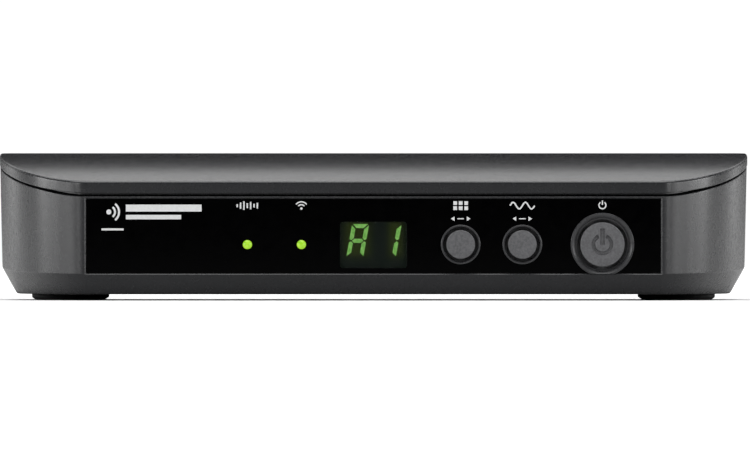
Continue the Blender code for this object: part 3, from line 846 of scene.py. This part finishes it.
def cord_hook():
    """The pocket in the rear wall and the hook in it that the adapter's cord ties round."""
    (x0, x1), (z0, z1) = POCKET
    end = CASE_DEPTH - 0.9
    outer = box("hook_pocket", (x0 - 1.6, x1 + 1.6), (POCKET_FLOOR - 1.8, end), (z0 - 1.4, z1 + 1.6))
    hollow = (POCKET_FLOOR, CASE_DEPTH + OVERCUT)
    cut(outer, [box("pocket_inner", (x0 - 0.15, x1 + 0.15), hollow, (z0 - 0.15, z1 + 0.15))])
    piece(softened(outer, 0.15, "case_plastic"))
    root, tip, throat = POCKET_FLOOR - 0.5, end + 0.5, end - 1.2
    low, arm_top, tip_top = 12.6, 14.8, 19.2
    profile = [(root, low), (tip, low), (tip, tip_top), (throat, tip_top), (throat, arm_top), (root, arm_top)]
    points = [place(HOOK_X - HOOK_HALF, depth, z) for depth, z in profile]
    hook = extruded("cord_hook", points, (2 * HOOK_HALF * MM, 0, 0))
    piece(softened(hook, 0.35, "case_plastic", segments=3))


# ---- front


def panel():
    """The glossy sheet with its holes, the window and the dark face behind the window."""
    half = RIM_HALF - PANEL_PLAY
    depths = (PANEL_SETBACK, PANEL_SETBACK + PANEL_THICKNESS)
    sheet = box("panel", (-half, half), depths, (PANEL_BOTTOM_Z, PANEL_TOP_Z))
    through = (-OVERCUT, 4.0)
    holes = []
    for name, x in BUTTON_X.items():
        holes.append(rod("hole", x, CONTROL_Z, through, COLLAR_RADIUS[name] + 0.06, sides=128))
    for x in LED_X.values():
        holes.append(rod("hole", x, CONTROL_Z, through, LED_RADIUS + 0.08, sides=48))
    centre = (0, WINDOW_Z)
    width, height = WINDOW_SIZE
    holes.append(rounded_plate("hole", centre, (width + 0.08, height + 0.08), through, WINDOW_CORNER + 0.04))
    cut(sheet, holes)
    piece(softened(sheet, 0.05, "panel_gloss", angle=60.0), ["front_panel"])
    glass = (PANEL_SETBACK, PANEL_SETBACK + 0.45)
    window = rounded_plate("window", centre, WINDOW_SIZE, glass, WINDOW_CORNER)
    piece(softened(window, 0.06, "window_tint", angle=60.0), ["display_window"])
    behind = (DIGIT_DEPTH + 0.1, 2.0)
    face = rounded_plate("readout_face", centre, (width - 0.04, height - 0.04), behind, WINDOW_CORNER)
    piece(softened(face, 0.05, "display_face", angle=60.0))


def segment_outline(kind):
    """One bar of a seven-segment digit, about the digit's centre, before it leans."""
    w, h, t = DIGIT_WIDTH / 2, DIGIT_HEIGHT / 2, SEGMENT
    g = SEGMENT_GAP
    if kind == "g":
        half = w - t / 2 - g * 1.4
        shoulder = half - t / 2
        upper = [(-half, 0), (-shoulder, t / 2), (shoulder, t / 2), (half, 0)]
        return upper + [(shoulder, -t / 2), (-shoulder, -t / 2)]
    if kind in "ad":
        sign = 1 if kind == "a" else -1
        outer, inner = w - g * 1.6, w - t - g * 1.6
        return [(-outer, sign * h), (outer, sign * h), (inner, sign * (h - t)), (-inner, sign * (h - t))]
    side = 1 if kind in "bc" else -1
    up = 1 if kind in "bf" else -1
    tip = h - g * 1.6
    return [
        (side * w, up * (tip - 0.12)),
        (side * w, up * (g + t * 0.28)),
        (side * (w - t / 2), up * g),
        (side * (w - t), up * (g + t / 2)),
        (side * (w - t), up * (tip - t)),
    ]


def digits():
    """The lit bars of the two leaning digits."""
    lean = math.tan(DIGIT_LEAN)
    depths = (DIGIT_DEPTH, DIGIT_DEPTH + DIGIT_THICKNESS)
    for name, centre in DIGIT_X.items():
        for kind in LIT[name]:
            outline = [(centre + u + v * lean, DIGIT_Z + v) for u, v in segment_outline(kind)]
            bar = prism(f"segment_{name}_{kind}", outline, depths)
            piece(softened(bar, 0.05, "segment", angle=30.0))


def indicators():
    """The two light pipes, each with a low domed tip."""
    r = LED_RADIUS
    dome = [(0, 0.12), (0.3 * r, 0.1), (0.55 * r, 0.04), (0.78 * r, -0.08), (0.92 * r, -0.2), (r, -0.38)]
    profile = dome + [(r, -LENS_BACK), (0, -LENS_BACK)]
    for name, x in LED_X.items():
        lens = turned(f"{name}_lens", profile, x, CONTROL_Z, "light_pipe", sides=64)
        piece(lens, [f"{name}_light_pipe"])


def collar(name, profile, radii, sides):
    # painted highlight: the collars take the lighter copy of the case plastic
    look = "collar_plastic_painted_highlight"
    return turned(f"{name}_collar", rounded(profile, radii), BUTTON_X[name], CONTROL_Z, look, sides=sides)


def collars():
    """The dished rings round the buttons, which the lower case carries through the panel."""
    for name in ("group", "channel"):
        outer, bore = COLLAR_RADIUS[name], COLLAR_BORE[name]
        face = [(outer, -RECESS_DEPTH), (outer, COLLAR_PROUD), (outer - 0.42, COLLAR_PROUD), (bore, -0.55)]
        back = [(bore, -COLLAR_BACK), (outer - 0.2, -COLLAR_BACK)]
        ring = collar(name, face + back, (0, 0.26, 0.10, 0.1, 0, 0), 128)
        piece(ring)
    outer, bore = COLLAR_RADIUS["power"], COLLAR_BORE["power"]
    face = [(outer, -RECESS_DEPTH), (outer, COLLAR_PROUD), (outer - 0.45, 0.06), (bore + 0.55, -0.34)]
    step = [(bore + 0.5, -0.9), (bore, -0.95)]
    back = [(bore, -COLLAR_BACK), (outer - 0.3, -COLLAR_BACK)]
    ring = collar("power", face + step + back, (0, 0.26, 0.14, 0.12, 0.12, 0.12, 0, 0), 160)
    cut(ring, [box("below", (40.0, 72.0), (-3.0, 6.0), (0.0, PANEL_BOTTOM_Z - SEAM_GAP))])
    applied(ring, "collar_plastic_painted_highlight")
    piece(ring)


def cap(name, sides):
    """A button's cap with the flange that holds it in and the stem behind it."""
    r, flange, stem = CAP_RADIUS[name], FLANGE_RADIUS[name], STEM_RADIUS[name]
    back, end = FLANGE_BACK[name], STEM_END[name]
    front = [(0, CAP_PROUD), (r, CAP_PROUD), (r, -FLANGE_FRONT), (flange, -FLANGE_FRONT)]
    profile = front + [(flange, -back), (stem, -back), (stem, -end), (0, -end)]
    outline = rounded(profile, (0, CAP_EDGE[name], 0, 0.1, 0.1, 0, 0, 0), steps=5)
    return turned(f"{name}_cap", outline, BUTTON_X[name], CONTROL_Z, "button_plastic", sides=sides)


def caps():
    for name in ("group", "channel"):
        piece(cap(name, 128), [f"{name}_button"], f"{name}_key")
    x = BUTTON_X["power"]
    power = cap("power", 160)
    cut(power, [symbol_ring(x), symbol_bar(x)])
    applied(power, "button_plastic")
    piece(power, ["power_button"], "power_key")


def symbol_levels():
    """Heights of the symbol's cutters: well above the cap, at its shoulder and at its floor."""
    return 2 * CAP_PROUD, CAP_PROUD - SYMBOL_SHOULDER, CAP_PROUD - SYMBOL_DEEP


def symbol_ring(x):
    """The open ring of the power symbol, as a groove with sloping sides."""
    above, shoulder, floor = symbol_levels()
    (inner, outer), (floor_inner, floor_outer) = SYMBOL_RING
    section = [
        (inner, above), (inner, shoulder), (floor_inner, floor),
        (floor_outer, floor), (outer, shoulder), (outer, above),
    ]
    start, sweep = (math.pi + SYMBOL_GAP) / 2, 2 * math.pi - SYMBOL_GAP
    rows = []
    for i in range(SYMBOL_STEPS + 1):
        a = start + sweep * i / SYMBOL_STEPS
        rows.append([place(x + r * math.cos(a), -h, CONTROL_Z + r * math.sin(a)) for r, h in section])
    return lofted("symbol_ring", rows)


def symbol_bar(x):
    """The upright bar of the power symbol, sunk with sloping sides."""
    low, high = (CONTROL_Z + end for end in SYMBOL_BAR_SPAN)
    wide, narrow = SYMBOL_BAR
    rows = []
    for half, h, inset in zip((wide, wide, narrow), symbol_levels(), (0.0, 0.0, SYMBOL_BAR_SLOPE)):
        corners = ((-half, low + inset), (half, low + inset), (half, high - inset), (-half, high - inset))
        rows.append([place(x + u, -h, z) for u, z in corners])
    return lofted("symbol_bar", rows)


# ---- printed marks


def mark(name, outlines):
    """A white printed mark from one or more filled outlines in the front plane."""
    parts = [prism("stroke", outline, PRINT_DEPTHS) for outline in outlines]
    return piece(joined(name, parts, "printed_white"))


def bar_outline(x, z, width, height):
    left, right, low, high = x - width / 2, x + width / 2, z - height / 2, z + height / 2
    return [(left, low), (right, low), (right, high), (left, high)]


def around(x, z, radius, angles):
    """Points on a circle."""
    return [(x + radius * math.cos(a), z + radius * math.sin(a)) for a in angles]


def arc_outline(x, z, radius, width, start, end, steps=24):
    angles = [math.radians(start + (end - start) * i / steps) for i in range(steps + 1)]
    return around(x, z, radius + width / 2, angles) + around(x, z, radius - width / 2, angles)[::-1]


def dot_outline(x, z, radius, steps=28):
    return around(x, z, radius, [2 * math.pi * i / steps for i in range(steps)])


def stroke_outline(points, width):
    """A line of even width through points, with mitred joints."""
    left, right = [], []
    for i, point in enumerate(points):
        here = Vector(point)
        before = (here - Vector(points[i - 1])).normalized() if i else None
        after = (Vector(points[i + 1]) - here).normalized() if i + 1 < len(points) else None
        along = ((before or after) + (after or before)).normalized()
        normal = Vector((-along.y, along.x))
        reference = before or after
        scale = 1.0 / max(0.4, abs(Vector((-reference.y, reference.x)).dot(normal)))
        left.append(tuple(here + normal * width / 2 * scale))
        right.append(tuple(here - normal * width / 2 * scale))
    return left + right[::-1]


def marks():
    """Plain symbols in place of words: sound level, radio waves, grid, wave, power and step arrows."""
    x = LED_X["audio"]
    levels = (0.7, 1.5, 2.1, 1.2, 1.8, 0.9, 1.4)
    mark("mark_audio", [bar_outline(x + (i - 3) * 0.82, MARK_Z, 0.36, h) for i, h in enumerate(levels)])
    x, z = LED_X["ready"], MARK_Z - 0.72
    waves = [arc_outline(x, z, radius, 0.3, 38, 142) for radius in (0.95, 1.65)]
    mark("mark_ready", [dot_outline(x, z, 0.3), *waves])
    x = BUTTON_X["group"]
    grid = [(u * 1.35, v * 0.62) for u in (-1, 0, 1) for v in (-1, 1)]
    mark("mark_group", [bar_outline(x + u, MARK_Z + v, 0.92, 0.92) for u, v in grid])
    x = BUTTON_X["channel"]
    half, height, steps = 3.0, 0.8, 40
    wave = []
    for i in range(steps + 1):
        along = 2 * half * i / steps
        wave.append((x - half + along, MARK_Z + height * math.sin(2 * math.pi * along / half)))
    mark("mark_channel", [stroke_outline(wave, 0.36)])
    x = BUTTON_X["power"]
    ring = arc_outline(x, MARK_Z + 0.1, 0.85, 0.3, 125, 415)
    mark("mark_power", [ring, bar_outline(x, MARK_Z + 0.75, 0.3, 1.1)])
    z = STEP_MARK_Z
    for name in ("group", "channel"):
        x = BUTTON_X[name]
        outlines = [[(x + s * 2.4, z), (x + s * 1.5, z - 0.55), (x + s * 1.5, z + 0.55)] for s in (-1, 1)]
        mark(f"mark_{name}_step", outlines + [bar_outline(x, z, 1.6, 0.26)])


def emblem():
    """A plain made-up emblem: a disc and two arcs beside two bars, over a thin rule."""
    x, z = EMBLEM_X, EMBLEM_Z
    arcs = [arc_outline(x, z, radius, 0.5, -52, 52) for radius in (1.5, 2.5)]
    bars = [bar_outline(x + 13.4, z + 0.95, 18.5, 1.7), bar_outline(x + 10.9, z - 1.25, 13.5, 1.1)]
    mark("emblem", [dot_outline(x, z, 0.62), *arcs, *bars])
    mark("emblem_rule", [bar_outline(x + 0.9, z - 4.25, 5.4, 0.5)])


# ---- feet and fasteners


def feet():
    """Rubber pads with a bevelled rim and a shallow dish underneath."""
    r, dish = FOOT_RADIUS, 0.18
    side = [(0, FOOT_HEIGHT), (r, FOOT_HEIGHT), (r, 0.72), (r - 1.0, 0.0)]
    profile = side + [(r - 2.6, 0.0), (r - 2.8, dish), (0, dish)]
    outline = rounded(profile, (0, 0, 0.2, 0.3, 0.1, 0.1, 0))
    for node, (x, depth) in zip(CORNERS, FOOT_PLACES):
        foot = turned(f"pad_{node}", outline, x, 0, "rubber", depth=depth, facing="up")
        piece(foot, [f"foot_{node}"])


def cross_cutter(head, facing, size=1.9, deep=1.3):
    """The cross recess of a screw's head."""
    slot = 0.55
    arms = []
    for width, height in ((size, slot), (slot, size)):
        bm = bmesh.new()
        bmesh.ops.create_cube(bm, size=1.0)
        scale = (width, height, deep * 2) if facing == "up" else (width, deep * 2, height)
        bmesh.ops.scale(bm, vec=Vector(scale) * MM, verts=bm.verts)
        bmesh.ops.translate(bm, vec=head, verts=bm.verts)
        arms.append(mesh_object("arm", bm))
    return combined(*arms, "UNION")


def case_screws():
    """Pan-head screws that run up from the counterbores into the cover."""
    head, head_top, shank, tip = 3.0, 4.8, 1.35, 17.0
    thread = [(0, tip), (1.0, tip), (shank, 15.5), (shank, head_top)]
    profile = thread + [(2.9, head_top), (2.9, head), (0, head)]
    outline = rounded(profile, (0, 0.2, 0, 0, 0.2, 0.7, 0))
    for node, (x, depth) in zip(CORNERS, CASE_SCREW_PLACES):
        screw = turned(f"screw_{node}", outline, x, 0, "black_steel", depth=depth, sides=48, facing="up")
        cut(screw, [cross_cutter(place(x, depth, head), "up")])
        piece(softened(screw, 0.05, "black_steel"), [f"case_screw_{node}"])


# ---- rear sockets


def xlr():
    """The three-pin socket: flange and cup, metal rim, key and two flange screws."""
    outside = CASE_DEPTH + 0.2
    mouth = outside + XLR_FLANGE
    beyond = mouth + OVERCUT
    plate = rounded_plate("xlr_plate", (XLR_X, XLR_Z), XLR_SIZE, (outside, mouth), 2.6)
    combined(plate, rod("cup", XLR_X, XLR_Z, (XLR_BACK, outside + 0.3), XLR_CUP, sides=128), "UNION")
    cutters = [rod("bore", XLR_X, XLR_Z, (XLR_FLOOR, beyond), XLR_BORE, sides=128)]
    for x, z in xlr_screw_places():
        cutters.append(rod("hole", x, z, (98.0, beyond), 1.6, sides=32))
    cut(plate, cutters)
    piece(softened(plate, 0.3, "dark_plastic", segments=3), ["xlr_shell"])
    inner, outer = XLR_BORE + 0.03, XLR_BORE + 0.9
    band = rounded([(inner, -0.6), (inner, 0.0), (outer, 0.0), (outer, -0.6)], (0, 0.15, 0.15, 0))
    rim = turned("xlr_rim", band, XLR_X, XLR_Z, "nickel", depth=mouth + 0.18, sides=128, facing="rear")
    piece(rim)
    key_depths = (XLR_FLOOR + 0.1, mouth - 1.0)
    key = box("xlr_key", (XLR_X - 0.9, XLR_X + 0.9), key_depths, (XLR_Z + 7.2, XLR_Z + 8.3))
    piece(softened(key, 0.2, "dark_plastic"))
    head = 1.4
    profile = [(0, head), (1.5, 1.35), (2.3, 0.9), (2.5, 0.35), (1.2, 0.3), (1.2, -5.6), (0, -5.6)]
    outline = rounded(profile, (0, 0.2, 0.2, 0.1, 0, 0, 0))
    for i, (x, z) in enumerate(xlr_screw_places(), 1):
        name = f"flange_screw_{i}"
        screw = turned(name, outline, x, z, "black_steel", depth=mouth, sides=48, facing="rear")
        cut(screw, [cross_cutter(place(x, mouth + head, z), "rear", size=2.2, deep=0.9)])
        piece(softened(screw, 0.04, "black_steel"), [f"xlr_screw_{i}"])


def xlr_screw_places():
    across, up = XLR_SCREW_OFFSET
    return [(XLR_X - across, XLR_Z + up), (XLR_X + across, XLR_Z - up)]


def jack():
    """The jack socket: threaded barrel, moulded block, washer and nut."""

    def ring(name, profile, stand, look="nickel", sides=96):
        depth = CASE_DEPTH + stand
        return turned(name, profile, JACK_X, JACK_Z, look, depth=depth, sides=sides, facing="rear")

    threads = []
    for i in range(THREADS):
        h = THREAD_START - i * THREAD_PITCH
        threads += [(JACK_BARREL - THREAD_DEPTH, h), (JACK_BARREL, h - THREAD_PITCH / 2)]
    mouth = [(JACK_BORE + 0.35, JACK_MOUTH), (JACK_BARREL - 0.35, JACK_MOUTH)]
    back = [(JACK_BARREL - 0.3, -3.4), (JACK_BORE, -3.4), (JACK_BORE, JACK_MOUTH - 0.35)]
    piece(ring("jack_barrel", mouth + threads + back, 0.0))
    across = (JACK_X - JACK_BLOCK_HALF, JACK_X + JACK_BLOCK_HALF)
    block = box("jack_block", across, JACK_BLOCK_DEPTHS, (JACK_Z - JACK_BLOCK_HALF, JACK_Z + JACK_BLOCK_HALF))
    front, rear = JACK_BLOCK_DEPTHS
    cut(block, [rod("bore", JACK_X, JACK_Z, (front + 4.0, rear + OVERCUT), JACK_BORE)])
    piece(softened(block, 0.3, "dark_plastic"), ["jack_body"])
    inner, outer = JACK_BARREL + 0.1, 7.2
    flat = rounded([(inner, 0.6), (outer, 0.6), (outer, 0.0), (inner, 0.0)], (0, 0.15, 0.1, 0))
    piece(ring("washer", flat, 0.2), ["jack_washer"])
    corner, seat = 7.3, 1.0
    hexagon = [(inner + 0.3, 2.0), (corner, 2.0), (corner, 0.0), (inner, 0.0), (inner, 1.7)]
    nut = ring("nut", hexagon, seat, look=None, sides=6)
    shaper = [(0, 3.0), (5.6, 3.0), (7.6, 1.55), (7.6, -1.0), (0, -1.0)]
    combined(nut, ring("shaper", shaper, seat, look=None), "INTERSECT")
    piece(softened(nut, 0.12, "nickel"), ["jack_nut"])


def dc_inlet():
    """Moulded block behind the wall with a round nose that carries the socket bore."""
    block = box("dc_socket", (DC_X - 4.5, DC_X + 4.5), (85.5, 97.4), (DC_Z - 5.5, DC_Z + 5.5))
    cut(block, [rod("bore", DC_X, DC_Z, (88.0, 99.0), DC_BORE)])
    cut(block, [rod("pin_hole", DC_X, DC_Z, (84.0, 90.0), 1.15)])
    piece(softened(block, 0.3, "dark_plastic"), ["dc_inlet"])
    rim, root = 0.4, -2.3
    outline = rounded([(DC_NOSE, root), (DC_NOSE, rim), (DC_BORE, rim), (DC_BORE, root)], (0, 0.25, 0.4, 0))
    nose = turned("dc_nose", outline, DC_X, DC_Z, "dark_plastic", depth=CASE_DEPTH, facing="rear")
    piece(nose)


def carried_over():
    """CAD nodes whose shape is already right keep it and take a finish."""
    slots = {entry["node"]: entry["material_slot"] for entry in frame["record"]["subparts"]}
    for name, node in frame["nodes"].items():
        node.data.materials.clear()
        node.data.materials.append(LOOKS[slots[name]])


# ---- studio


def mixed(tree, factor, first, second):
    """The first shader where the factor is 0 and the second where it is 1."""
    return add_node(tree, "MixShader", {0: factor, 1: first.outputs[0], 2: second.outputs[0]})


def seen_by_camera(tree):
    return add_node(tree, "LightPath").outputs["Is Camera Ray"]


def studio_floor():
    """A white sheet, clear from below, that lights the object less than it shows to the camera."""
    bm = bmesh.new()
    bmesh.ops.create_grid(bm, x_segments=1, y_segments=1, size=40.0)
    floor = mesh_object("studio_floor", bm)
    look = Look("studio_floor", roughness=0.95, specular=0.0)
    look.mottled((0.76, 0.76, 0.76), 0.004, 0.002)
    away = look.node("VectorMath", {0: look.place})
    away.operation = "LENGTH"
    look.shader.inputs["Emission Color"].default_value = (1.0, 1.0, 1.0, 1.0)
    # painted light: the floor glows more the farther it lies from the object, so it is painted darker near
    # the object
    glow = look.spread(away.outputs["Value"], 0.0, 0.40, 0.16, 0.60)
    look.link(glow, look.shader.inputs["Emission Strength"])
    dull = look.node("BsdfDiffuse", {"Color": (0.45, 0.45, 0.45, 1.0)})
    upper = mixed(look.tree, seen_by_camera(look.tree), dull, look.shader)
    from_below = look.node("NewGeometry").outputs["Backfacing"]
    sheet = mixed(look.tree, from_below, upper, look.node("BsdfTransparent"))
    look.link(sheet.outputs[0], look.tree.nodes["Material Output"].inputs["Surface"])
    floor.data.materials.append(look.made)


def studio_world():
    """White to the camera, and nearly dark to everything else, so that the lamps do the lighting."""
    world = bpy.data.worlds.new("studio")
    bpy.context.scene.world = world
    world.use_nodes = True
    tree = world.node_tree
    tree.nodes.clear()
    lighting = add_node(tree, "Background", {"Color": (0.012, 0.012, 0.013, 1.0)})
    seen = add_node(tree, "Background", {"Color": (1.0, 1.0, 1.0, 1.0), "Strength": 1.02})
    mix = mixed(tree, seen_by_camera(tree), lighting, seen)
    add_node(tree, "OutputWorld", {"Surface": mix.outputs[0]})


def soft_box(name, at, aim, size, power):
    data = bpy.data.lights.new(name, "AREA")
    data.shape = "RECTANGLE"
    data.size, data.size_y = size
    data.energy = power
    lamp = bpy.data.objects.new(name, data)
    bpy.context.scene.collection.objects.link(lamp)
    lamp.location = at
    lamp.rotation_euler = (Vector(aim) - Vector(at)).to_track_quat("-Z", "Y").to_euler()
    lamp.visible_camera = False


def sky_dome(strength, spread):
    """Even light from overhead, as from a large diffusing ceiling."""
    data = bpy.data.lights.new("ceiling", "SUN")
    data.energy = strength
    data.angle = math.radians(spread)
    lamp = bpy.data.objects.new("ceiling", data)
    bpy.context.scene.collection.objects.link(lamp)


def strip_behind(elevation, height, power):
    """A wide low strip behind the object, which its top reflects towards the camera."""
    angle, reach, base = math.radians(elevation), 1.65, 0.03
    at = (0.0, reach * math.cos(angle), base + reach * math.sin(angle))
    soft_box("behind", at, (0, 0, base), (2.0, height), power)


MIDDLE = (0, 0, 0.02)  # what the lamps aim at, in metres

# Lamps on each side, listed for the right: name, place in metres, size and power
SIDE_LAMPS = (
    ("front_side", (1.30, -1.30, 0.35), (0.5, 0.4), 5.6),
    ("flank_near", (1.50, -0.65, 0.25), (0.5, 0.5), 2.6),
    ("flank", (1.58, -0.20, 0.25), (0.6, 0.5), 3.2),
    ("flank_far", (1.55, 0.35, 0.25), (0.4, 0.45), 2.6),
    ("side", (1.39, 0.80, 0.25), (0.45, 0.45), 2.6),
    ("quarter", (0.66, 1.47, 0.12), (0.22, 0.22), 0.14),
)


def lights():
    sky_dome(3.4, 66.0)
    strip_behind(13.0, 0.08, 0.30)
    strip_behind(16.5, 0.10, 0.50)
    for side in (-1, 1):
        for name, (x, y, z), size, power in SIDE_LAMPS:
            soft_box(name, (side * x, y, z), MIDDLE, size, power)
    soft_box("front", (0.0, -1.6, 1.5), MIDDLE, (1.6, 0.5), 4.0)
    soft_box("back", (0.0, 1.3, 1.15), MIDDLE, (1.6, 0.5), 4.0)


def camera():
    data = bpy.data.cameras.new("camera")
    data.lens = LENS
    data.sensor_width = 36.0
    data.clip_start, data.clip_end = 0.1, 200.0
    made = bpy.data.objects.new("camera", data)
    bpy.context.scene.collection.objects.link(made)
    made.location = (EYE_X, FRONT_Y * MM - EYE_DISTANCE, EYE_HEIGHT)
    made.rotation_euler = (math.pi / 2 + PITCH, 0, 0)
    bpy.context.scene.camera = made
    bpy.context.scene.view_settings.view_transform = "Standard"


carried_over()
lower_case()
upper_case()
screw_wells()
cord_hook()
panel()
digits()
indicators()
collars()
caps()
marks()
emblem()
feet()
case_screws()
xlr()
jack()
dc_inlet()
studio_floor()
studio_world()
lights()
camera()
